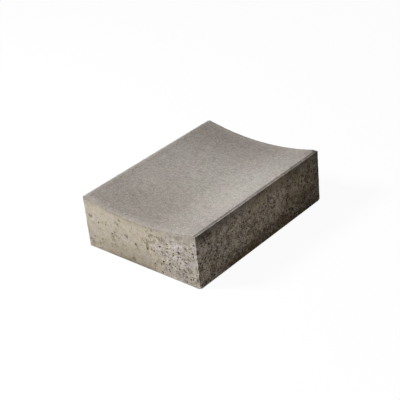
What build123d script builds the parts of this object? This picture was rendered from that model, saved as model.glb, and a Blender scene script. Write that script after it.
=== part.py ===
from build123d import *
import os

# Concrete drainage gutter: one pressed block with a dished channel along its top.
# X runs across the channel, Y along the flow and Z up. The origin is the middle of the underside.
# All sizes are millimetres.

# The block
BLOCK_LENGTH = 400.0
BLOCK_WIDTH = 300.0
RIM_HEIGHT = 120.0  # underside to the top of each rim
CORNER_RADIUS = 2.0  # upright corners, as the mould box leaves them

# The dished channel
CHANNEL_DEPTH = 18.0  # top of the rims down to the lowest line of the channel
CHANNEL_END_RADIUS = 1.5  # worn round edge where the channel runs out at each end

# The rim on each long side, from the outer face inwards: ledge, sloping step, land
LEDGE_WIDTH = 2.4  # flat strip that the press shoe leaves beside the mould wall
LEDGE_DROP = 2.0  # top of the rim down to the ledge
STEP_RUN = 2.8  # how far the sloping step leans inwards
LAND_WIDTH = 1.5  # flat top of the rim
LAND_RADIUS = 0.8  # rounding of both edges of the land


def channel_section():
    """The block's section across the flow: a rectangle with stepped rims and a circular dish."""
    side = BLOCK_WIDTH / 2
    ledge_height = RIM_HEIGHT - LEDGE_DROP
    step_foot = side - LEDGE_WIDTH
    land_outer = step_foot - STEP_RUN
    land_inner = land_outer - LAND_WIDTH
    right = [
        (side, 0),
        (side, ledge_height),
        (step_foot, ledge_height),
        (land_outer, RIM_HEIGHT),
        (land_inner, RIM_HEIGHT),
    ]
    left = [(-x, z) for x, z in reversed(right)]
    with BuildSketch(Plane.XZ) as section:
        with BuildLine():
            Polyline(*left, *right)
            SagittaArc(right[-1], left[0], CHANNEL_DEPTH)
        make_face()
        land_corners = section.vertices().group_by(Axis.Y)[-1]
        fillet(land_corners, LAND_RADIUS)
    return section.sketch


def is_channel_end(edge):
    """True for the long curved edge where the channel meets an end face."""
    return edge.geom_type == GeomType.CIRCLE and edge.length > BLOCK_WIDTH / 2


def gutter_block():
    """The section drawn out along the flow, with its upright corners and channel ends rounded."""
    block = extrude(channel_section(), amount=BLOCK_LENGTH / 2, both=True)
    block = fillet(block.edges().filter_by(Axis.Z), CORNER_RADIUS)
    return fillet(block.edges().filter_by(is_channel_end), CHANNEL_END_RADIUS)


os.makedirs("parts", exist_ok=True)
export_step(gutter_block(), "parts/gutter_block.step")
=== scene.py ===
import math

import bmesh
import bpy
import numpy as np
from bpy.props import FloatProperty, FloatVectorProperty, IntProperty, PointerProperty
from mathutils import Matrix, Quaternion, Vector, noise


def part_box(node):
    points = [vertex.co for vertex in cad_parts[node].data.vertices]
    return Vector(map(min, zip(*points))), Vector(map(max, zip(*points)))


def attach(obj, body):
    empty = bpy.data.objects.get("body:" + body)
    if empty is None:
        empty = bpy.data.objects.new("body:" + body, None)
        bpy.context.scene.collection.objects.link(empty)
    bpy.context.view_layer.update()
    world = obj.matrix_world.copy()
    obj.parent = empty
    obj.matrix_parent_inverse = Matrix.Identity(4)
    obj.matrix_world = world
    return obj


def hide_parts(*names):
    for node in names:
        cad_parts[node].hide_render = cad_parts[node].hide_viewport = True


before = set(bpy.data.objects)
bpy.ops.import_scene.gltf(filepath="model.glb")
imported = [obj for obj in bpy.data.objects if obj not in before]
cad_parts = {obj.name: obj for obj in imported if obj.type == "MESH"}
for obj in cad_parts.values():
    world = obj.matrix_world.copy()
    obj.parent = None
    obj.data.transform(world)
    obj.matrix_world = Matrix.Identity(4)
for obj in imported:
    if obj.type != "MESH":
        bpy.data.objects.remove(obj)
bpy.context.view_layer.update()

bl_info = {
    "name": "Concrete Drainage Gutter",
    "version": (1, 0, 0),
    "blender": (4, 5, 0),
    "location": "View3D > Sidebar > Gutter",
    "description": "A pressed concrete gutter block with open pores and worn edges, on a pale studio floor",
    "category": "Object",
}

NODE = "gutter_block"
BODY = "root"
LOW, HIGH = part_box(NODE)
MM = 0.001  # in metres
TINY = 1e-5  # places closer than this are taken as the same (m)

# The block's faces as the looks take them, in millimetres
LEFT, NEAR, FOOT = (c / MM for c in LOW)
RIGHT, FAR, TOP = (c / MM for c in HIGH)

PORE_SHADE = "pore_shade"  # attribute: how much painted shade fills the inside of a pore
SENSOR_WIDTH = 36  # of the camera (mm)
SMOOTH_BELOW = math.radians(38)  # faces that meet at less than this are shaded as one
UPRIGHT_BELOW = 0.5  # a face belongs to a wall if its normal rises less than this

SKIN_DEPTH = 10 * MM  # what counts as the near end, going in from its face
NEAR_END_OPENING = (15 * MM, 70 * MM)  # across the near end, closed skin turns to open pores between these
SKIN_BELOW_TOP = (5 * MM, 26 * MM)  # and so it does between these depths below the top
SIDE_OPENING = 0.85  # how open the other walls are
PATCHES_PER_METRE = 27
PATCH_LEVELS = (-0.45, 0.25)  # levels of the noise between which a patch of wall turns from closed to open
LEAST_PATCH = 0.12  # share of the pores that a closed patch keeps
LEAST_SKIN = 0.06  # share of the pores that the closed skin keeps
SKIN_PORES = (-0.3, 0.3)  # how open a wall is where a pore would be nothing, and where it is a full hole

FOOT_HEIGHT = 3 * MM  # the lowest strip of the walls, which stays plain
ARRIS_REACH = 3 * MM  # how far from a square edge the wear reaches
WORN_CORNER = (9 * MM, 13 * MM)  # the far right corner of the top is rubbed down between these distances
CHIPPED_FOOT = 5 * MM  # both right corners of the foot are chipped up to this distance from them
CHIP_RISE = 2.6 * MM  # how far the chipped corners stand off the floor
FOOT_MARK = Vector((HIGH.x, LOW.y + 18 * MM, LOW.z + 6 * MM))  # the dark mark at the foot of the right side

ROUNDER_FROM = 2.3 * MM  # a pore of this radius or more gets a rounder form
LONGEST = 1.3  # longest reach of a pore from its middle, in radii
SLIMMEST_FORM = (0.95, 0.7, 0.7)  # a pore's three radii lie between these shares of its size
WIDEST_FORM = (LONGEST, 1, 1)
DEEPEST_DENT = 0.75  # and its corners are pushed in to this share at most
PORE_SINK = 0.45  # the middle of a full pore lies up to this far below the face, in radii
PORE_LIFT = 1.2  # and the middle of the shallowest would lie this far above it
PALEST_PORE = 0.4  # how much painted shade the palest full pore gets, where 1 is the darkest
CLUSTER_SPREAD = 0.3  # how much the pores of one group differ in size

# Other small hollows: middle radius, how much it varies, depth of its middle in radii, how much painted shade
# fills it
TOP_PIT = (0.6 * MM, 0.3, 0.2, 0.6)
NICK = (1.7 * MM, 0.35, -0.4, 0.2)

GRAIN_SIZE = 1.8  # of the sand (mm)
PIT_WOBBLE = 2.5  # size and reach of the wobble in the outlines of the painted pits (mm)
SMUDGE_FADE = (2.2, 0.6)  # a group's smudge grows between these distances from its middle, in spreads
BUMP_DEPTH = 0.8 * MM  # of the finest roughness, which the mesh doesn't hold

# How far the walls drift in colour, as shares of red, green and blue that stay
WARM_FILTER = (1.0, 1.0, 0.95)
COOL_FILTER = (1.0, 1.0, 1.035)
DARK_FILTER = (1.04, 0.995, 0.86)
LIGHT_FILTER = (0.97, 1.0, 1.05)
NO_FILTER = (1.0, 1.0, 1.0)
FAR_EDGE_FILTER = (0.66, 0.71, 0.75)

# Groups of pores on the near end: x, z, spread, how many, radius (mm), and how deep, where 1 is a full hole.
# A group of none is a brown smudge alone.
NEAR_END_CLUSTERS = (
    (-72, 48, 8, 6, 2.2, 0.6),
    (-38, 61, 4, 1, 2.4, 0.5),
    (-12, 46, 4, 2, 2.2, 0.6),
    (-107, 26, 4, 1, 2.4, 0.7),
    (-58, 80, 4, 1, 2.2, 0.5),
    (-138, 78, 5, 1, 2.2, 0.5),
    (20, 60, 11, 9, 2.2, 0.6),
    (34, 87, 9, 3, 2, 0.6),
    (60, 84, 8, 6, 1.8, 0.8),
    (58, 53, 6, 8, 1.9, 1),
    (66, 31, 4, 4, 2.6, 1),
    (105, 57, 5, 5, 2.1, 1),
    (122, 80, 3, 4, 2.6, 1),
    (-25, 11, 4, 0, 2, 0.6),
    (35, 8, 4, 0, 2, 0.6),
    (-140, 17, 4, 0, 2, 0.6),
)


def paint(red, green, blue):
    """A colour given as it looks on a screen, from 0 to 255, as the linear values that shaders take."""
    shares = [level / 255 for level in (red, green, blue)]
    return tuple(s / 12.92 if s <= 0.04045 else ((s + 0.055) / 1.055) ** 2.4 for s in shares)


def length(name, description, default):
    """A size in metres."""
    return FloatProperty(
        name=name, description=description, default=default, min=0, unit="LENGTH", precision=5
    )


def angle(name, description, degrees):
    """An angle, given in degrees."""
    return FloatProperty(name=name, description=description, default=math.radians(degrees), unit="ROTATION")


def amount(name, description, default):
    """A plain number."""
    return FloatProperty(name=name, description=description, default=default)


def power(name, description, default):
    """A lamp's power in watts."""
    return FloatProperty(name=name, description=description, default=default, unit="POWER")


def count(name, description, default):
    """A whole number of things."""
    return IntProperty(name=name, description=description, default=default, min=0)


def colour(name, description, *levels):
    """A surface colour, given as screen levels."""
    return FloatVectorProperty(
        name=name, description=description, default=paint(*levels), subtype="COLOR", size=3, min=0, max=1
    )


class GutterSection(bpy.types.PropertyGroup):
    """Sizes of the block's section across the flow, and how finely it is meshed."""

    channel_depth: length("Channel depth", "Top of the rims to the lowest line of the channel", 18 * MM)
    ledge_width: length("Ledge width", "Flat strip outside each rim", 2.4 * MM)
    ledge_drop: length("Ledge drop", "Top of the rim down to the ledge", 2 * MM)
    step_run: length("Step run", "How far the step beside the ledge leans inwards", 2.8 * MM)
    land_width: length("Land width", "Flat top of each rim", 1.5 * MM)
    arris: length("Arris", "Rounding of the block's square edges", 0.7 * MM)
    channel_lip: length("Channel lip", "Rounding where the channel runs out at an end", 1.6 * MM)
    step_softness: length("Step softness", "Rounding of the steps beside the ledges", 0.5 * MM)
    spacing: length("Mesh spacing", "Width of a mesh face on the channel; the walls have half of it", 5 * MM)


class GutterRelief(bpy.types.PropertyGroup):
    """How uneven, porous and worn the cast surface is."""

    swell: length("Swell", "Depth of the broad unevenness of the moulded faces", 0.6 * MM)
    swell_size: length("Swell size", "Width of the broad unevenness", 55 * MM)
    grit: length("Grit", "Depth of the roughness all over", 0.35 * MM)
    grit_size: length("Grit size", "Width of the roughness all over", 7 * MM)
    crust: length("Crust", "Depth of the roughness where the walls are open", 3 * MM)
    crust_size: length("Crust size", "Width of the roughness where the walls are open", 6 * MM)
    wear: length("Wear", "How far the arrises are rubbed back", 1.1 * MM)
    wear_size: length("Wear size", "Width of one rubbed stretch of arris", 11 * MM)
    pore_radius: length("Pore radius", "Middle radius of the open pores", 1.5 * MM)
    pore_spread: amount("Pore spread", "How much the pores differ in size", 0.36)
    pore_area: amount("Pore area", "Square millimetres of open wall for one pore", 40)
    top_pits: count("Top pits", "Small pits in the channel's floor", 60)
    nicks: count("Nicks", "Small bites out of the arrises", 80)
    seed: count("Seed", "Changes where the pores fall", 11)


class GutterColours(bpy.types.PropertyGroup):
    """Colours of the concrete."""

    top_green: colour("Top green", "Sandy face of the channel, where faintly greenish", 172, 168, 160)
    top_pink: colour("Top pink", "Sandy face of the channel, where faintly pinkish", 174, 166, 161)
    top_damp: colour("Top damp", "Darker damp stretches of the channel", 142, 135, 128)
    lip: colour("Lip", "Grey facing where it laps over the block's ends", 158, 150, 140)
    wall_beige: colour("Wall beige", "Dense cement skin of the walls", 182, 172, 157)
    wall_lilac: colour("Wall lilac", "Open porous stretches of the walls", 179, 171, 165)
    wall_brown: colour("Wall brown", "Brownish blotches of the walls", 165, 147, 125)
    # Stain also colours the dark mottles and the painted contact shade along the foot
    stain: colour("Stain", "Brown damp stain along the foot", 80, 65, 44)
    # The colour of the painted shade inside pores, pits and nicks; the dark mark at the foot takes it too
    pore: colour("Pore", "Inside of the pores", 52, 45, 37)
    # Dark grain also colours the painted pits, which stand for the shade in pin holes
    dark_grain: colour("Dark grain", "Dark sand grains and pin holes", 74, 65, 54)
    pale_grain: colour("Pale grain", "Pale sand grains", 214, 208, 198)


class GutterStudio(bpy.types.PropertyGroup):
    """Camera, lamp and floor."""

    eye: FloatVectorProperty(
        name="Eye",
        description="Where the camera stands",
        default=(1.3003, -1.4044, 1.1480),
        subtype="TRANSLATION",
    )
    azimuth: angle("Azimuth", "Turn of the view from the direction of flow", 43.104)
    elevation: angle("Elevation", "How far the camera looks down", 29.723)
    roll: angle("Roll", "Tilt of the camera about its own view", -6.06)
    lens: FloatProperty(name="Lens", description="Focal length", default=94.84, unit="CAMERA")
    lamp_azimuth: angle("Lamp azimuth", "Where the lamp stands, turned from the near end", -44)
    lamp_elevation: angle("Lamp elevation", "How high the lamp stands", 42)
    lamp_distance: length("Lamp distance", "Lamp to the middle of the block", 2.5)
    lamp_size: length("Lamp size", "Width of the soft lamp", 0.7)
    lamp_power: power("Lamp power", "Power of the lamp", 90)
    fill_azimuth: angle("Fill azimuth", "Where the weak fill lamp stands, turned from the near end", 66)
    fill_elevation: angle("Fill elevation", "How high the fill lamp stands", 14)
    fill_distance: length("Fill distance", "Fill lamp to the middle of the block", 1.0)
    fill_size: length("Fill size", "Width of the fill lamp", 0.6)
    fill_power: power("Fill power", "Power of the fill lamp", 0.7)
    ambient: amount("Ambient", "Strength of the light from all round", 0.05)
    floor_size: length("Floor size", "Width of the floor", 60)
    floor_bounce: amount("Floor bounce", "Share of light that the floor throws back", 0.3)
    floor_shadow: amount("Floor shadow", "How much of the block's shadow shows on the floor", 0.05)


def deselect_all():
    """Nothing is selected, so the next operator acts on its own piece alone."""
    if bpy.context.object and bpy.context.object.mode != "OBJECT":
        bpy.ops.object.mode_set(mode="OBJECT")
    bpy.ops.object.select_all(action="DESELECT")


def edit(piece, mode="VERT"):
    """Opens a piece in edit mode with nothing selected, and gives its mesh."""
    bpy.ops.object.mode_set(mode="EDIT")
    bpy.ops.mesh.select_mode(type=mode)
    bpy.ops.mesh.select_all(action="DESELECT")
    return bmesh.from_edit_mesh(piece.data)


def choose(piece, elements, test):
    """Selects the vertices, edges or faces that pass a test."""
    for element in elements:
        if test(element):
            element.select_set(True)
    bmesh.update_edit_mesh(piece.data)


def discard(piece):
    """Removes a helper and its mesh."""
    mesh = piece.data
    bpy.data.objects.remove(piece)
    bpy.data.meshes.remove(mesh)


def apply_modifier(piece, name, kind, **settings):
    """Adds a modifier with these settings and applies it."""
    modifier = piece.modifiers.new(name, kind)
    for key, value in settings.items():
        setattr(modifier, key, value)
    bpy.ops.object.modifier_apply(modifier=modifier.name)


def ramp(value, low, high):
    """Rises evenly from 0 to 1 as a value goes from low to high."""
    return min(1, max(0, (value - low) / (high - low)))


def lift(share, least):
    """Squeezes a share from 0 to 1 into the range from least to 1."""
    return least + (1 - least) * share


class BlockShape:
    """Where the block's surfaces lie, worked out from the CAD box and the section's sizes."""

    def __init__(self, section):
        self.step_foot = HIGH.x - section.ledge_width
        self.land_outer = self.step_foot - section.step_run
        self.land_inner = self.land_outer - section.land_width
        self.ledge_height = HIGH.z - section.ledge_drop
        self.channel_floor = HIGH.z - section.channel_depth
        self.radius = (self.land_inner ** 2 + section.channel_depth ** 2) / (2 * section.channel_depth)

    def channel_height(self, x):
        """Height of the dished channel at a distance from its middle line."""
        across = min(abs(x), self.land_inner)
        return self.channel_floor + self.radius - math.sqrt(self.radius ** 2 - across ** 2)

    def top_height(self, x):
        """Height of the top at a distance from the middle line, rims and ledges included."""
        return self.ledge_height if abs(x) > self.land_outer else self.channel_height(x)

    def arris_distance(self, point):
        """How far a point of the surface lies from the nearest square edge."""
        x, y, z = point
        return sorted((HIGH.x - abs(x), HIGH.y - abs(y), z - LOW.z, self.top_height(x) - z))[1]

    def openness(self, point):
        """How open the concrete is at a place on a wall: 0 under a closed skin, 1 where it is all pores."""
        patch = ramp(noise.noise(point * PATCHES_PER_METRE), *PATCH_LEVELS)
        below_skin = ramp(self.top_height(point.x) - point.z, *SKIN_BELOW_TOP)
        on_near_end = point.y < LOW.y + SKIN_DEPTH
        share = ramp(point.x, *NEAR_END_OPENING) if on_near_end else SIDE_OPENING
        return lift(patch, LEAST_PATCH) * lift(below_skin, LEAST_SKIN) * lift(share, LEAST_SKIN)


def add_channel(section, shape):
    """The channel's floor: a grid between the two lands, dished across the flow."""
    size_x, size_y = 2 * shape.land_inner, HIGH.y - LOW.y
    deselect_all()
    bpy.ops.mesh.primitive_grid_add(
        x_subdivisions=round(size_x / section.spacing),
        y_subdivisions=round(size_y / section.spacing),
        size=1,
        location=(0, 0, HIGH.z),
    )
    block = bpy.context.object
    block.name = "gutter_block_cast"
    block.data.name = block.name
    bpy.ops.transform.resize(value=(size_x, size_y, 1))
    bpy.ops.object.transform_apply(location=True, rotation=True, scale=True)
    mesh = edit(block)
    for vert in mesh.verts:
        vert.co.z = shape.channel_height(vert.co.x)
    bmesh.update_edit_mesh(block.data)
    return block


def extrude_rims(block, section, shape):
    """The land, the sloping step and the ledge of each rim, drawn out of the channel's long edges."""
    land = (section.land_width, 0)
    step = (section.step_run, -section.ledge_drop)
    half_ledge = (section.ledge_width / 2, 0)
    for side in (-1, 1):
        mesh = edit(block, "EDGE")
        choose(block, mesh.edges, lambda e: all(v.co.x * side > shape.land_inner - TINY for v in e.verts))
        for run, rise in (land, step, half_ledge, half_ledge):
            bpy.ops.mesh.extrude_region_move(TRANSFORM_OT_translate={"value": (side * run, 0, rise)})


def close_block(block, section):
    """The underside is a flat copy of the top, and the four walls bridge the two, with a finer mesh."""
    mesh = edit(block, "FACE")
    bpy.ops.mesh.select_all(action="SELECT")
    bpy.ops.mesh.duplicate()
    for vert in mesh.verts:
        if vert.select:
            vert.co.z = LOW.z
    bmesh.update_edit_mesh(block.data)
    mesh = edit(block, "EDGE")
    choose(block, mesh.edges, lambda e: e.is_boundary)
    rows = round((HIGH.z - LOW.z) / section.spacing)
    bpy.ops.mesh.bridge_edge_loops(number_cuts=rows - 1, interpolation="LINEAR")
    bpy.ops.mesh.select_all(action="SELECT")
    bpy.ops.mesh.normals_make_consistent(inside=False)
    mesh = edit(block, "FACE")
    choose(block, mesh.faces, lambda f: abs(f.normal.z) < UPRIGHT_BELOW)
    bpy.ops.mesh.subdivide(number_cuts=1)


def round_arrises(block, section, shape):
    """Rounds the square edges a little, the channel's ends more, and both edges of the rims' steps."""
    radii = {"arris": section.arris, "lip": section.channel_lip, "step": section.step_softness}
    widest = max(radii.values())
    square, bent = math.radians(60), math.radians(25)
    mesh = edit(block, "EDGE")
    layer = mesh.edges.layers.float.new("bevel_weight_edge")
    for edge in mesh.edges:
        turn = edge.calc_face_angle(0)
        if turn < bent:
            continue
        middle = (edge.verts[0].co + edge.verts[1].co) / 2
        at_lip = middle.z > shape.channel_floor - TINY and abs(middle.x) < shape.land_inner
        kind = "step" if turn < square else "lip" if at_lip else "arris"
        edge[layer] = radii[kind] / widest
    bmesh.update_edit_mesh(block.data)
    bpy.ops.object.mode_set(mode="OBJECT")
    apply_modifier(block, "arrises", "BEVEL", width=widest, segments=2, limit_method="WEIGHT")


def cloud(name, size, octaves):
    """A soft procedural noise for the Displace modifier."""
    texture = bpy.data.textures.new(name, "CLOUDS")
    texture.noise_scale = size
    texture.noise_depth = octaves
    return texture


def weigh(block, name, weight):
    """A vertex group whose weights come from a function of the vertex's place."""
    group = block.vertex_groups.new(name=name)
    for vert in block.data.vertices:
        group.add([vert.index], weight(vert.co), "REPLACE")


def press_unevenness(block, shape, relief):
    """The swell, grit and open crust of the moulded faces and the rubbed arrises, within the CAD box."""
    def above_foot(p):
        return ramp(p.z, LOW.z, LOW.z + FOOT_HEIGHT)

    def near_arris(p):
        return above_foot(p) * (1 - ramp(shape.arris_distance(p), 0, ARRIS_REACH))

    def open_wall(p):
        return above_foot(p) * ramp(shape.arris_distance(p), 0, 2 * ARRIS_REACH) * shape.openness(p)

    # Name, depth, width, octaves, the level of the noise that stays in place, and where it acts
    layers = (
        ("swell", relief.swell, relief.swell_size, 1, 0.5, above_foot),
        ("grit", relief.grit, relief.grit_size, 2, 0.5, above_foot),
        ("crust", relief.crust, relief.crust_size, 2, 0.6, open_wall),
        ("wear", relief.wear, relief.wear_size, 2, 0.52, near_arris),
    )
    for name, strength, size, octaves, level, weight in layers:
        weigh(block, name, weight)
        apply_modifier(
            block, name, "DISPLACE", texture=cloud(name, size, octaves), texture_coords="LOCAL",
            strength=strength, mid_level=level, vertex_group=name,
        )
    block.vertex_groups.clear()
    corner = Vector((HIGH.x, HIGH.y))
    feet = [Vector((HIGH.x, y, LOW.z)) for y in (LOW.y, HIGH.y)]
    for vert in block.data.vertices:
        rubbed = 1 - ramp((vert.co.xy - corner).length, *WORN_CORNER)
        if rubbed and vert.co.z > shape.ledge_height:
            vert.co.z = shape.ledge_height + (vert.co.z - shape.ledge_height) * (1 - rubbed)
        from_foot = min((vert.co - foot).length for foot in feet)
        vert.co.z += CHIP_RISE * (1 - ramp(from_foot, 0, CHIPPED_FOOT))
        vert.co = [min(high, max(low, c)) for low, c, high in zip(LOW, vert.co, HIGH)]


class PoreField:
    """Chooses where pores fall, and makes them as one mesh of small lumpy blobs to be cut out."""

    def __init__(self, shape, relief):
        self.shape = shape
        self.relief = relief
        self.random = np.random.default_rng(relief.seed)
        self.blobs = []
        self.taken = np.empty((0, 4))

    def add(self, place, radius, painted_shade):
        """Keeps a blob if it is clear of the ones before it."""
        gaps = np.linalg.norm(self.taken[:, :3] - place, axis=1) - LONGEST * (self.taken[:, 3] + radius)
        if not (gaps < 0).any():
            self.taken = np.vstack((self.taken, (*place, radius)))
            self.blobs.append((np.array(place), radius, painted_shade))

    def some_radius(self, size, spread):
        """A radius of about this size."""
        return size * math.exp(self.random.normal(0, spread))

    def pore(self, point, normal, size, spread, depth):
        """One pore at a place on a wall, sunk more or less deep."""
        radius = self.some_radius(size, spread)
        sink = radius * (self.random.uniform(0, PORE_SINK) - PORE_LIFT * (1 - depth))
        self.add(point - normal * sink, radius, self.random.uniform(PALEST_PORE, 1) * depth ** 2)

    def scatter(self, wall, size, spread, area):
        """Pores of about one size over a wall, one for each patch of open area."""
        start, along, normal, width = wall
        for _ in range(round(width * HIGH.z / area)):
            run, up, chance = self.random.random(3)
            point = start + along * (run * width) + Vector((0, 0, LOW.z + up * (HIGH.z - LOW.z)))
            inside = FOOT_HEIGHT < point.z < self.shape.top_height(point.x) - FOOT_HEIGHT
            openness = self.shape.openness(point)
            if inside and chance < openness:
                self.pore(point, normal, size, spread, ramp(openness, *SKIN_PORES))

    def cluster(self, x, z, spread, number, size, depth):
        """A handful of pores close together on the near end."""
        for _ in range(number):
            shift_x, shift_z = self.random.normal(0, spread, 2)
            point = Vector((x + shift_x, LOW.y, z + shift_z))
            self.pore(point, Vector((0, -1, 0)), size, CLUSTER_SPREAD, depth)

    def pit_top(self):
        """Small pits in the channel's floor."""
        size, spread, sink, painted_shade = TOP_PIT
        for _ in range(self.relief.top_pits):
            x = self.random.uniform(-self.shape.land_inner, self.shape.land_inner)
            y = self.random.uniform(LOW.y, HIGH.y)
            radius = self.some_radius(size, spread)
            self.add((x, y, self.shape.channel_height(x) - sink * radius), radius, painted_shade)

    def nick_arrises(self):
        """Small bites out of the upright corners, the rims' ledges, the channel's ends and the lands."""
        size, spread, sink, painted_shade = NICK
        for _ in range(self.relief.nicks):
            radius = self.some_radius(size, spread)
            out = -sink * radius
            side, end = self.random.choice((-1, 1), 2)
            x, y = side * (HIGH.x + out), end * (HIGH.y + out)
            somewhere_x = self.random.uniform(-self.shape.land_inner, self.shape.land_inner)
            somewhere_y = self.random.uniform(LOW.y, HIGH.y)
            somewhere_z = self.random.uniform(LOW.z + FOOT_HEIGHT, self.shape.ledge_height)
            places = (
                (x, y, somewhere_z),
                (x, somewhere_y, self.shape.ledge_height + out),
                (somewhere_x, y, self.shape.channel_height(somewhere_x) + out),
                (side * self.shape.land_outer, somewhere_y, HIGH.z + out),
            )
            self.add(places[self.random.integers(len(places))], radius, painted_shade)

    def blob_form(self, subdivisions):
        """Corner places and faces of a unit ball with few or more faces."""
        deselect_all()
        bpy.ops.mesh.primitive_ico_sphere_add(subdivisions=subdivisions, radius=1)
        ball = bpy.context.object
        corners = np.array([v.co for v in ball.data.vertices])
        faces = np.array([p.vertices for p in ball.data.polygons])
        discard(ball)
        return corners, faces

    def make_cutter(self):
        """All the blobs as one mesh: each is squeezed, turned and dented in its own way."""
        few, more = self.blob_form(1), self.blob_form(2)
        corners, faces, shades = [], [], []
        for place, radius, painted_shade in self.blobs:
            ball, ball_faces = few if radius < ROUNDER_FROM else more
            squeeze = self.random.uniform(SLIMMEST_FORM, WIDEST_FORM)
            dents = self.random.uniform(DEEPEST_DENT, 1, (len(ball), 1))
            turn = np.array(Quaternion(self.random.normal(0, 1, 4)).normalized().to_matrix())
            faces.extend((ball_faces + len(corners)).tolist())
            corners.extend((place + radius * (ball * dents * squeeze) @ turn.T).tolist())
            shades.extend([painted_shade] * len(ball_faces))
        mesh = bpy.data.meshes.new("pore_blobs")
        mesh.from_pydata(corners, [], faces)
        # Each blob's faces carry its painted shade, which the cut leaves inside the hollow
        mesh.attributes.new(PORE_SHADE, "FLOAT", "FACE").data.foreach_set("value", shades)
        cutter = bpy.data.objects.new("pore_blobs", mesh)
        bpy.context.collection.objects.link(cutter)
        return cutter


def block_walls():
    """The four walls: where each starts at the foot, which way it runs, its outward side and its width."""
    width, run = HIGH.x - LOW.x, HIGH.y - LOW.y
    return (
        (Vector((LOW.x, LOW.y, 0)), Vector((1, 0, 0)), Vector((0, -1, 0)), width),
        (Vector((HIGH.x, LOW.y, 0)), Vector((0, 1, 0)), Vector((1, 0, 0)), run),
        (Vector((HIGH.x, HIGH.y, 0)), Vector((-1, 0, 0)), Vector((0, 1, 0)), width),
        (Vector((LOW.x, HIGH.y, 0)), Vector((0, -1, 0)), Vector((-1, 0, 0)), run),
    )


def split_to_triangles(piece):
    """Makes every face of a piece flat, so that none folds over itself when it is cut."""
    edit(piece, "FACE")
    bpy.ops.mesh.select_all(action="SELECT")
    bpy.ops.mesh.quads_convert_to_tris(quad_method="FIXED_ALTERNATE", ngon_method="CLIP")
    bpy.ops.object.mode_set(mode="OBJECT")


def cut_pores(block, shape, relief):
    """Cuts the pores, pits and nicks out of the block."""
    field = PoreField(shape, relief)
    for x, z, spread, number, size, depth in NEAR_END_CLUSTERS:
        field.cluster(x * MM, z * MM, spread * MM, number, size * MM, depth)
    for wall in block_walls():
        field.scatter(wall, relief.pore_radius, relief.pore_spread, relief.pore_area * MM ** 2)
    field.pit_top()
    field.nick_arrises()
    cutter = field.make_cutter()
    block.data.attributes.new(PORE_SHADE, "FLOAT", "FACE")
    deselect_all()
    block.select_set(True)
    bpy.context.view_layer.objects.active = block
    split_to_triangles(block)
    apply_modifier(block, "pores", "BOOLEAN", operation="DIFFERENCE", solver="MANIFOLD", object=cutter)
    discard(cutter)
    split_to_triangles(block)


class Value:
    """One output of a shader node, used as a number in Python expressions."""

    def __init__(self, board, socket):
        self.board = board
        self.socket = socket

    def output(self, name):
        """Another output of the same node."""
        return Value(self.board, self.socket.node.outputs[name])

    def maths(self, operation, *others):
        return self.board.node("ShaderNodeMath", {"operation": operation}, dict(enumerate((self, *others))))

    def __add__(self, other):
        return self.maths("ADD", other)

    def __sub__(self, other):
        return self.maths("SUBTRACT", other)

    def __rsub__(self, other):
        return self.board.node("ShaderNodeMath", {"operation": "SUBTRACT"}, {0: other, 1: self})

    def __mul__(self, other):
        return self.maths("MULTIPLY", other)

    def __abs__(self):
        return self.maths("ABSOLUTE")

    def least(self, other):
        return self.maths("MINIMUM", other)

    def most(self, other):
        return self.maths("MAXIMUM", other)

    __radd__ = __add__
    __rmul__ = __mul__


class Board:
    """The node tree of a material or a world."""

    def __init__(self, owner):
        owner.use_nodes = True
        self.tree = owner.node_tree
        self.tree.nodes.clear()

    def node(self, kind, settings=None, inputs=None, output=0):
        """Adds a node, sets it up, fills or links its sockets and gives one output."""
        made = self.tree.nodes.new(kind)
        for name, value in (settings or {}).items():
            setattr(made, name, value)
        for key, value in (inputs or {}).items():
            socket = made.inputs[key]
            if isinstance(value, Value):
                self.tree.links.new(value.socket, socket)
            else:
                socket.default_value = (*value, 1) if socket.type == "RGBA" else value
        return Value(self, made.outputs[output]) if len(made.outputs) else made

    def blend(self, factor, first, second):
        """Mixes two colours. The sockets' numbers are those of the node's colour sockets."""
        return self.node("ShaderNodeMix", {"data_type": "RGBA"}, {0: factor, 6: first, 7: second}, 2)

    def shade(self, paint_colour, factor):
        """Makes a colour darker or lighter by a factor."""
        return self.node("ShaderNodeVectorMath", {"operation": "SCALE"}, {0: paint_colour, "Scale": factor})

    def slope(self, value, low, high, bottom=0.0, top=1.0):
        """Rises smoothly from bottom to top as a value goes from low to high."""
        return self.node(
            "ShaderNodeMapRange", {"interpolation_type": "SMOOTHSTEP"},
            {0: value, 1: low, 2: high, 3: bottom, 4: top},
        )

    def noise(self, place, size, detail=2.0, roughness=0.5):
        """Soft noise with blotches about this size, in the units of the place."""
        return self.node(
            "ShaderNodeTexNoise", None,
            {"Vector": place, "Scale": 1 / size, "Detail": detail, "Roughness": roughness},
        )

    def tint(self, paint_colour, factor, first, second):
        """Filters a colour, with a filter between two."""
        filters = self.blend(factor, first, second)
        return self.node("ShaderNodeVectorMath", {"operation": "MULTIPLY"}, {0: paint_colour, 1: filters})

    def pits(self, place, spacing, widest, share):
        """Small pits, one in each of a share of loose cells: 1 inside a pit and 0 outside."""
        cells = self.node("ShaderNodeTexVoronoi", None, {"Vector": place, "Scale": 1 / spacing})
        chances = self.node("ShaderNodeSeparateColor", None, {0: cells.output("Color")})
        smallest = 0.4
        soft_edge = 0.4
        soft_chance = 0.05
        reach = (chances.output("Green") * (1 - smallest) + smallest) * widest
        inside = self.slope(cells * spacing - reach, soft_edge, -soft_edge)
        return inside * self.slope(share - chances, 0.0, soft_chance)


def swing(soft_noise):
    """A soft noise as a swing up and down from 0."""
    return soft_noise - 0.5


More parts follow.
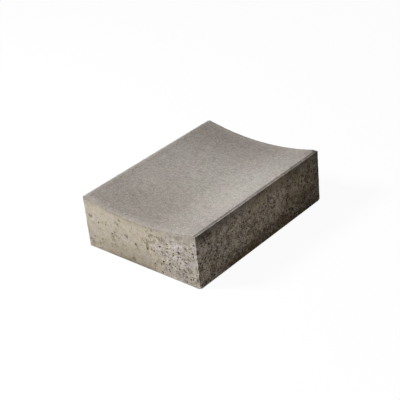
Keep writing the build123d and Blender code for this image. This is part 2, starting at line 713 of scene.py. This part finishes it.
class Spot:
    """Where a point of the block lies and the soft noises that vary its look, with lengths in millimetres."""

    def __init__(self, board, shape):
        coords = board.node("ShaderNodeTexCoord").output("Object")
        self.place = board.node("ShaderNodeVectorMath", {"operation": "SCALE"}, {0: coords, "Scale": 1 / MM})
        axes = board.node("ShaderNodeSeparateXYZ", None, {0: self.place})
        self.x, self.y, self.z = (axes.output(name) for name in "XYZ")

        # How far the place lies from the block's surfaces and edges
        across = (self.x * self.x * (MM / shape.land_inner) ** 2).least(1.0)
        channel_floor = shape.channel_floor / MM
        channel = across * (TOP - channel_floor) + channel_floor
        self.below_top = channel - self.z
        self.past_land = abs(self.x) - shape.land_inner / MM
        self.from_side = RIGHT - abs(self.x)
        self.from_end = FAR - abs(self.y)
        self.inside = self.from_side.least(self.from_end)
        self.from_worn = self.distance(board, HIGH)

        # Which wall it is on: 1 there and 0 elsewhere
        at_end = board.slope(self.from_side - self.from_end, -1.0, 1.0)
        self.on_face = at_end * board.slope(self.from_end, 6.0, 1.0)
        self.near = at_end * board.slope(self.y, 10.0, -10.0)
        self.on_side = 1.0 - self.near
        self.right = (1.0 - at_end) * board.slope(self.x, -10.0, 10.0)
        self.rest = self.on_side - self.right

        # Soft noises from broad to fine, and grains of sand
        self.broad = board.noise(self.place, 75.0)
        self.patchy = board.noise(self.place, 26.0, 3.0)
        self.cloudy = board.node("ShaderNodeSeparateColor", None, {0: self.patchy.output("Color")}, "Green")
        self.ragged = board.noise(self.place, 11.0, 3.0, 0.6)
        self.smudgy = board.noise(self.place, 8.0, 2.0, 0.6).output("Fac")
        self.lumpy = board.noise(self.place, 7.0, 1.0)
        self.fine = board.noise(self.place, 3.0, 1.0)
        grains = board.node("ShaderNodeTexVoronoi", None, {"Vector": self.place, "Scale": 1 / GRAIN_SIZE})
        self.grain = board.node("ShaderNodeSeparateColor", None, {0: grains.output("Color")})

        # How open the concrete is, and 1 along the foot of the walls, where a damp stain and painted contact
        # shade go
        under_lip = board.slope(self.below_top, 6.0, 28.0, 0.3, 1.0)
        self.open_end = board.slope(self.x + swing(self.patchy) * 110.0, 15.0, 85.0) * under_lip
        patches = board.slope(self.patchy, 0.3, 0.55, 0.45, 1.0)
        self.open_wall = (self.open_end * self.near + self.on_side * 0.8) * patches
        stain_top = self.near * 12.0 + board.slope(self.y, NEAR + 90.0, 60.0, 38.0, 50.0)
        self.low = board.slope(self.z + swing(self.ragged) * 30.0, stain_top, 2.0)

    def distance(self, board, point):
        """How far this place lies from a point that is given in metres."""
        ends = {0: self.place, 1: [c / MM for c in point]}
        return board.node("ShaderNodeVectorMath", {"operation": "DISTANCE"}, ends, "Value")


def sandy_top(board, spot, colours):
    """Fine sandy facing: faint green and pink clouds, darker where damp, and painted light and shade across
    the rims, lighter on their lands.
    """
    clouds = spot.broad * 0.5 + spot.patchy * 0.5
    top = board.blend(board.slope(clouds, 0.4, 0.6), colours.top_green, colours.top_pink)
    along_middle = board.slope(spot.x, RIGHT - 35.0, 0.0, 0.0, 0.43)
    on_left = board.slope(spot.x, 0.0, LEFT + 40.0, 0.0, 0.1)
    to_ends = board.slope(spot.from_end, 160.0, 20.0, 0.0, 0.5)
    in_patches = swing(spot.patchy) * 0.3
    wide_pool = board.slope(abs(spot.x + 10.0), 120.0, 20.0)
    near_pool = wide_pool * board.slope(abs(spot.y - (NEAR + 115.0)), 110.0, 20.0, 0.0, 0.22)
    below_rims = board.slope(spot.from_side, 32.0, 12.0, 0.0, 0.1)
    at_worn_corner = board.slope(spot.from_worn, 45.0, 12.0, 0.0, 0.5)
    dry_corner = board.slope(spot.x, LEFT + 60.0, LEFT + 10.0, 0.0, 0.3)
    dry_corner = dry_corner * board.slope(spot.y, NEAR + 90.0, NEAR + 20.0)
    damp = along_middle + on_left + to_ends + in_patches + near_pool + below_rims + at_worn_corner
    damp = (damp - dry_corner).least(1.0).most(0.0)
    dry_edge = board.slope(spot.from_end, 0.0, 20.0, 0.62, 1.0)
    top = board.blend(damp * dry_edge, top, colours.top_damp)

    # Painted light and shade across each rim: lighter towards the land, less so on the step, and the ledge
    # lighter at the near end and darker towards the far end
    beside_rim = board.slope(spot.past_land, -5.5, -1.0, 1.0, 1.07)
    land = board.slope(spot.past_land, -1.3, 1.2, 1.0, 1.12)
    step = board.slope(spot.past_land, 1.5, 3.0, 1.0, 0.91)
    near_ledge = board.slope(spot.y, NEAR + 40.0, 30.0, 1.18, 0.86)
    along_ledge = near_ledge * board.slope(spot.y, 40.0, FAR - 50.0, 1.0, 0.85)
    ledge = board.slope(spot.past_land, 3.5, 4.7, 1.0, along_ledge)
    return board.shade(top, beside_rim * land * step * ledge)


def sand(spot):
    """How light or dark the sand of the facing is, as a factor."""
    grains = swing(spot.grain) * 0.3 + swing(spot.fine) * 0.76
    return grains + swing(spot.lumpy) * 0.44 + swing(spot.ragged) * 0.25 + 1.0


def wall_skin(board, spot, colours):
    """Beige cement skin that turns to open lilac-grey concrete, with brown blotches."""
    wall = board.blend(spot.open_wall, colours.wall_beige, colours.wall_lilac)
    blotches = board.slope(spot.patchy * 0.5 + spot.ragged * 0.5, 0.42, 0.62, 0.0, 0.8)
    on_end = spot.low * 0.4 + board.slope(abs(spot.x - 45.0), 50.0, 15.0, 0.25, 0.5)
    to_far_end = board.slope(spot.y, NEAR + 50.0, FAR - 10.0, 0.45, 0.9)
    to_far_end = to_far_end * board.slope(spot.z, TOP - 20.0, TOP - 75.0, 0.8, 1.0)
    brown = blotches * (spot.on_side * 0.7 + spot.near * on_end) + spot.right * to_far_end
    return board.blend(brown.least(1.0), wall, colours.wall_brown)


def stain_and_shade_foot(board, spot, wall, colours):
    """The damp brown stain along the foot, which also stands in for painted contact shade there, strongest on
    the right side.
    """
    along_side = board.slope(spot.y, NEAR + 35.0, NEAR + 105.0, 0.0, 0.85)
    along_side = along_side * board.slope(spot.y, FAR - 60.0, FAR, 1.0, 0.75)
    side_pool = board.slope(abs(spot.y - (FAR - 80.0)), 45.0, 10.0, 0.0, 0.12)
    from_pool = abs(spot.x + 35.0)
    near_pool = board.slope(from_pool, 110.0, 30.0, 0.06, 0.24)
    wet_line = board.slope(from_pool, 85.0, 25.0, 0.0, 0.22) * board.slope(spot.z, FOOT + 12.0, FOOT + 3.0)
    damp = spot.right * (along_side + side_pool) + spot.rest * 0.25 + spot.near * (near_pool + wet_line)
    return board.blend(spot.low * damp, wall, colours.stain)


def painted_wall_light(board, spot):
    """How light each wall is, as a factor of painted light and shade: the right side is lit up and fades to
    its far end, the near end fades to its foot.
    """
    # Painted light on the right side, strongest towards its near end
    along_side = board.slope(spot.y, NEAR + 10.0, -30.0, 1.15, 1.5)
    along_side = along_side * board.slope(spot.y, 20.0, FAR - 40.0, 1.0, 0.7)
    at_foot = board.slope(spot.x, 0.0, 40.0, 0.95, 1.0)
    down_end = board.slope(spot.z, TOP - 30.0, FOOT + 10.0, 1.06, at_foot)
    middle = board.slope(abs(spot.x - 55.0), 70.0, 25.0) * board.slope(spot.z, 38.0, 58.0, 0.0, 0.11)
    corner = board.slope(spot.x, RIGHT - 45.0, RIGHT - 15.0)
    corner = corner * board.slope(spot.z, FOOT + 28.0, FOOT + 10.0, 0.0, 0.1)
    return spot.right * along_side + spot.rest + spot.near * (down_end + middle + corner)


def mottle_wall(board, spot, wall, colours):
    """Mottles, stronger where the concrete is open: warmer where dark and cooler where light."""
    small = swing(spot.fine) * 3.0 + swing(spot.lumpy) * 2.4 + swing(spot.ragged) * 2.0
    on_end = small + swing(spot.ragged) * 2.0 + swing(spot.lumpy) * 1.0 + swing(spot.patchy) * 2.0
    clumps = board.slope(spot.broad, 0.35, 0.65, 0.8, 1.3)
    clumps = clumps * board.slope(spot.z, TOP - 42.0, TOP - 14.0, 1.0, 0.62)
    on_side = small * clumps + swing(spot.patchy) * 1.6 + swing(spot.broad) * 1.0
    end_contrast = (spot.open_end * 0.22 + 0.2) * board.slope(spot.below_top, 2.0, 24.0, 0.55, 1.0)
    right_contrast = board.slope(spot.y, NEAR + 10.0, NEAR + 85.0, 1.25, 1.0)
    contrast = spot.near * end_contrast + spot.right * right_contrast + spot.rest * 0.45
    mottle = (spot.near * on_end + spot.on_side * on_side) * contrast
    mottle = mottle.least(mottle * 0.55)
    wall = board.blend(board.slope(mottle, -0.1, -0.7, 0.0, 0.35), wall, colours.stain)
    wall = board.blend(board.slope(mottle, 0.05, 0.35, 0.0, 0.25), wall, colours.pale_grain)
    # The mottles and the walls' painted light and shade scale the colour together
    wall = board.shade(wall, (mottle * 0.8 + 1.0).most(0.25) * painted_wall_light(board, spot))
    return board.tint(wall, board.slope(mottle, -0.6, 0.35), DARK_FILTER, LIGHT_FILTER)


def crowd(board, spot):
    """1 in the middle of a group of pores on the near end and 0 away from it."""
    closest = None
    for x, z, spread, *_ in NEAR_END_CLUSTERS:
        away = spot.distance(board, (x * MM, LOW.y, z * MM))
        inside = board.slope(away, *(spread * reach for reach in SMUDGE_FADE))
        closest = closest.most(inside) if closest else inside
    return closest


def mark_wall(board, spot, wall, colours):
    """Smudges about the groups of pores, pale grains, small pits painted as the shade of pin holes, and the
    dark mark at the foot.
    """
    smudge = board.slope(spot.smudgy + crowd(board, spot) * 0.15, 0.61, 0.69)
    wall = board.blend(smudge * spot.near * (1.0 - spot.open_end) * 0.55, wall, colours.stain)
    wall = board.tint(wall, board.slope(spot.cloudy, 0.35, 0.65), WARM_FILTER, COOL_FILTER)
    pale = board.slope(spot.grain, 0.93, 0.98, 0.0, 0.4) * spot.open_wall
    wall = board.blend(pale, wall, colours.pale_grain)

    wobble = board.node("ShaderNodeTexNoise", None, {"Vector": spot.place, "Scale": 1 / PIT_WOBBLE})
    place = board.node(
        "ShaderNodeVectorMath", {"operation": "MULTIPLY_ADD"},
        {0: wobble.output("Color"), 1: (PIT_WOBBLE,) * 3, 2: spot.place},
    )
    # Painted shade of pin holes too small for the mesh, as dark pits, mostly where the wall is open
    small_pits = board.pits(place, 5.0, 1.4, spot.open_wall * 0.6 + 0.02)
    large_pits = board.pits(place, 9.0, 2.5, spot.open_wall * 0.45)
    wall = board.blend(small_pits.most(large_pits) * 0.85, wall, colours.dark_grain)
    mark = board.slope(spot.distance(board, FOOT_MARK), 5.5, 2.0, 0.0, 0.8)
    return board.blend(mark, wall, colours.pore)


def moulded_wall(board, spot, colours):
    """The walls as the mould leaves them, with painted shade below the rim of the right side, which is also
    darker at its far edge.
    """
    wall = wall_skin(board, spot, colours)
    wall = stain_and_shade_foot(board, spot, wall, colours)
    wall = mottle_wall(board, spot, wall, colours)
    wall = mark_wall(board, spot, wall, colours)
    # Painted shade in a band below the rim, deepest towards the near end
    painted_shade_below_rim = board.slope(spot.below_top, 35.0, 2.0)
    painted_shade_below_rim = painted_shade_below_rim * board.slope(spot.y, NEAR + 10.0, FAR - 10.0, 0.6, 0.36)
    wall = board.shade(wall, 1.0 - spot.right * painted_shade_below_rim)
    far_edge = board.slope(spot.y, FAR - 24.0, FAR - 11.0) * board.slope(spot.z, FOOT + 8.0, FOOT + 35.0)
    return board.tint(wall, spot.right * far_edge, NO_FILTER, FAR_EDGE_FILTER)


def painted_lip_light(board, spot):
    """Painted light and shade about the channel's lip on the ends, as a factor: it evens out the light above,
    at and below the lip.
    """
    past_edge = board.slope(spot.below_top, 0.8, 2.2)
    right_end = board.slope(spot.x, RIGHT - 28.0, RIGHT - 12.0)
    # Painted shade over the rounded lip, which catches more of the lamp than the faces on either side
    over_lip = board.slope(spot.below_top + spot.from_end * 4.0, 16.0, 3.0) * (1.0 - past_edge)
    over_tone = board.slope(spot.x, RIGHT - 80.0, RIGHT - 45.0, 0.14, 0.04) + right_end * 0.15
    # Painted light and shade below the lip, lightest towards the right end, as a broader rounding would be
    # lit there
    under_lip = board.slope(spot.below_top, 9.5, 3.0) * past_edge
    under_tone = board.slope(spot.x, RIGHT - 90.0, RIGHT - 38.0, -0.04, 0.5) - right_end * 0.43
    left_end = board.slope(spot.x, LEFT + 50.0, LEFT + 10.0, 0.0, 0.05)
    left_half = board.slope(spot.x, 45.0, 15.0, 0.0, 0.06)
    under_tone = under_tone + left_end - left_half
    # Painted shade in a band a little further below the lip, on the right half
    apron = board.slope(spot.below_top, 22.0, 14.0) * board.slope(spot.below_top, 3.0, 7.0)
    apron = apron * board.slope(spot.x, 25.0, 70.0)
    apron = apron * board.slope(spot.x, RIGHT - 25.0, RIGHT - 45.0, 0.03, 0.085)
    return spot.on_face * (under_lip * under_tone - over_lip * over_tone - apron) + 1.0


def concrete_material(shape, colours):
    """Pressed concrete: fine sandy facing on top, moulded walls below it, and dark pores, whose darkness is
    painted shade.
    """
    material = bpy.data.materials.new("pressed_concrete")
    board = Board(material)
    spot = Spot(board, shape)
    left_lap = board.slope(spot.x, LEFT + 45.0, LEFT + 5.0, 0.0, 9.0)
    right_lap = board.slope(spot.x, RIGHT - 90.0, RIGHT - 40.0, 0.0, 10.0)
    uneven = swing(spot.ragged) * 16.0 - left_lap - right_lap
    under_rim = board.slope(spot.below_top, 0.8, 3.8)
    past_lip = board.slope(spot.below_top - spot.from_end + uneven, -8.0, 13.0)
    core = under_rim + (past_lip - under_rim) * spot.on_face
    lapped = spot.on_face * board.slope(spot.below_top, 0.0, 1.5)
    facing = board.blend(lapped, sandy_top(board, spot, colours), colours.lip)
    # The facing turns much darker towards the far right corner
    rubbed = board.slope(spot.from_worn, 15.0, 8.0, 1.0, 0.28)
    facing = board.shade(facing, sand(spot) * rubbed)
    skin = board.blend(core, facing, moulded_wall(board, spot, colours))
    skin = board.shade(skin, painted_lip_light(board, spot))
    # Painted shade inside the pores, pits and nicks, and in the walls' recesses, growing from 0.8 to 2.4 mm
    # below their faces
    pore = board.node("ShaderNodeAttribute", {"attribute_name": PORE_SHADE}).output("Fac")
    painted_hollow_shade = board.slope(spot.inside, 0.8, 2.4) * core * 0.5
    skin = board.blend(painted_hollow_shade.most(pore), skin, colours.pore)

    height = spot.fine * 0.6 + spot.grain * 0.4
    bump = board.node("ShaderNodeBump", None, {"Strength": 0.5, "Distance": BUMP_DEPTH, "Height": height})
    surface = board.node(
        "ShaderNodeBsdfPrincipled", None,
        {"Base Color": skin, "Roughness": 0.93, "Specular IOR Level": 0.25, "Normal": bump},
    )
    board.node("ShaderNodeOutputMaterial", None, {"Surface": surface})
    return material


def seen_directly(board):
    """1 where the camera looks, or sees by a mirror or glass, and 0 for light on its way to a surface."""
    path = board.node("ShaderNodeLightPath")
    return path.most(path.output("Is Glossy Ray")).most(path.output("Is Transmission Ray"))


def floor_material(studio):
    """Pale floor: it looks white to the camera, keeps a faint shadow, and throws back a little light."""
    material = bpy.data.materials.new("pale_floor")
    board = Board(material)
    plain = board.node("ShaderNodeBsdfDiffuse", None, {"Color": (studio.floor_bounce,) * 3})
    pale = board.node("ShaderNodeBsdfDiffuse", None, {"Color": (1, 1, 1)})
    glow = board.node("ShaderNodeEmission", None, {"Color": (1, 1, 1), "Strength": 1.0})
    shown = board.node("ShaderNodeMixShader", None, {0: studio.floor_shadow, 1: glow, 2: pale})
    both = board.node("ShaderNodeMixShader", None, {0: seen_directly(board), 1: plain, 2: shown})
    board.node("ShaderNodeOutputMaterial", None, {"Surface": both})
    return material


def light_world(studio):
    """White to the camera, and a weak even light on the block."""
    world = bpy.data.worlds.new("pale_surround")
    bpy.context.scene.world = world
    board = Board(world)
    weak = board.node("ShaderNodeBackground", None, {"Color": (1, 1, 1), "Strength": studio.ambient})
    white = board.node("ShaderNodeBackground", None, {"Color": (1, 1, 1), "Strength": 1.0})
    both = board.node("ShaderNodeMixShader", None, {0: seen_directly(board), 1: weak, 2: white})
    board.node("ShaderNodeOutputWorld", None, {"Surface": both})


def outward(azimuth, elevation):
    """The direction from the block that is turned from its near end and raised by these angles."""
    level = math.cos(elevation)
    return Vector((math.sin(azimuth) * level, -math.cos(azimuth) * level, math.sin(elevation)))


def aim(piece, direction, roll=0):
    """Turns a camera or a lamp to look along a direction."""
    piece.rotation_mode = "QUATERNION"
    piece.rotation_quaternion = direction.to_track_quat("-Z", "Y") @ Quaternion((0, 0, 1), roll)


def add_camera(studio):
    """The photograph's camera."""
    bpy.ops.object.camera_add(location=studio.eye)
    camera = bpy.context.object
    camera.name = "view_camera"
    aim(camera, -outward(studio.azimuth, studio.elevation), studio.roll)
    camera.data.lens = studio.lens
    camera.data.sensor_width = SENSOR_WIDTH
    bpy.context.scene.camera = camera


def add_lamp(name, azimuth, elevation, distance, size, watts):
    """A soft round lamp that looks at the middle of the block."""
    back = outward(azimuth, elevation)
    bpy.ops.object.light_add(type="AREA", location=(LOW + HIGH) / 2 + back * distance)
    lamp = bpy.context.object
    lamp.name = name
    aim(lamp, -back)
    lamp.data.shape = "DISK"
    lamp.data.size = size
    lamp.data.energy = watts


class OBJECT_OT_gutter_block(bpy.types.Operator):
    """Model the cast concrete block in place of its CAD solid"""

    bl_idname = "object.gutter_block"
    bl_label = "Gutter Block"
    bl_options = {"REGISTER", "UNDO"}

    def execute(self, context):
        settings = context.scene
        section, relief = settings.gutter_section, settings.gutter_relief
        shape = BlockShape(section)
        block = add_channel(section, shape)
        extrude_rims(block, section, shape)
        close_block(block, section)
        round_arrises(block, section, shape)
        press_unevenness(block, shape, relief)
        cut_pores(block, shape, relief)
        bpy.ops.object.shade_smooth_by_angle(angle=SMOOTH_BELOW)
        block.data.materials.clear()
        block.data.materials.append(concrete_material(shape, settings.gutter_colours))
        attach(block, BODY)
        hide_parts(NODE)
        return {"FINISHED"}


class OBJECT_OT_gutter_studio(bpy.types.Operator):
    """Set up the pale floor, the soft light and the camera"""

    bl_idname = "object.gutter_studio"
    bl_label = "Studio"
    bl_options = {"REGISTER", "UNDO"}

    def execute(self, context):
        studio = context.scene.gutter_studio
        deselect_all()
        bpy.ops.mesh.primitive_plane_add(size=studio.floor_size, location=(0, 0, LOW.z))
        floor = context.object
        floor.name = "studio_floor"
        floor.data.materials.append(floor_material(studio))
        light_world(studio)
        add_lamp(
            "key_lamp", studio.lamp_azimuth, studio.lamp_elevation,
            studio.lamp_distance, studio.lamp_size, studio.lamp_power,
        )
        add_lamp(
            "fill_lamp", studio.fill_azimuth, studio.fill_elevation,
            studio.fill_distance, studio.fill_size, studio.fill_power,
        )
        add_camera(studio)
        context.scene.view_settings.view_transform = "Standard"
        return {"FINISHED"}


class VIEW3D_PT_gutter(bpy.types.Panel):
    """The block's sizes, relief and colours, and the buttons that make it"""

    bl_label = "Concrete Gutter"
    bl_idname = "VIEW3D_PT_gutter"
    bl_space_type = "VIEW_3D"
    bl_region_type = "UI"
    bl_category = "Gutter"

    def draw(self, context):
        for name in SETTINGS:
            group = getattr(context.scene, name)
            box = self.layout.box()
            for key in group.__annotations__:
                box.prop(group, key)
        for operator in (OBJECT_OT_gutter_block, OBJECT_OT_gutter_studio):
            self.layout.operator(operator.bl_idname)


SETTINGS = {
    "gutter_section": GutterSection,
    "gutter_relief": GutterRelief,
    "gutter_colours": GutterColours,
    "gutter_studio": GutterStudio,
}
CLASSES = (*SETTINGS.values(), OBJECT_OT_gutter_block, OBJECT_OT_gutter_studio, VIEW3D_PT_gutter)


def register():
    for cls in CLASSES:
        bpy.utils.register_class(cls)
    for name, group in SETTINGS.items():
        setattr(bpy.types.Scene, name, PointerProperty(type=group))


def unregister():
    for name in SETTINGS:
        delattr(bpy.types.Scene, name)
    for cls in reversed(CLASSES):
        bpy.utils.unregister_class(cls)


def main():
    """Builds the block and its studio."""
    register()
    bpy.ops.object.gutter_block()
    bpy.ops.object.gutter_studio()


if __name__ == "__main__":
    main()
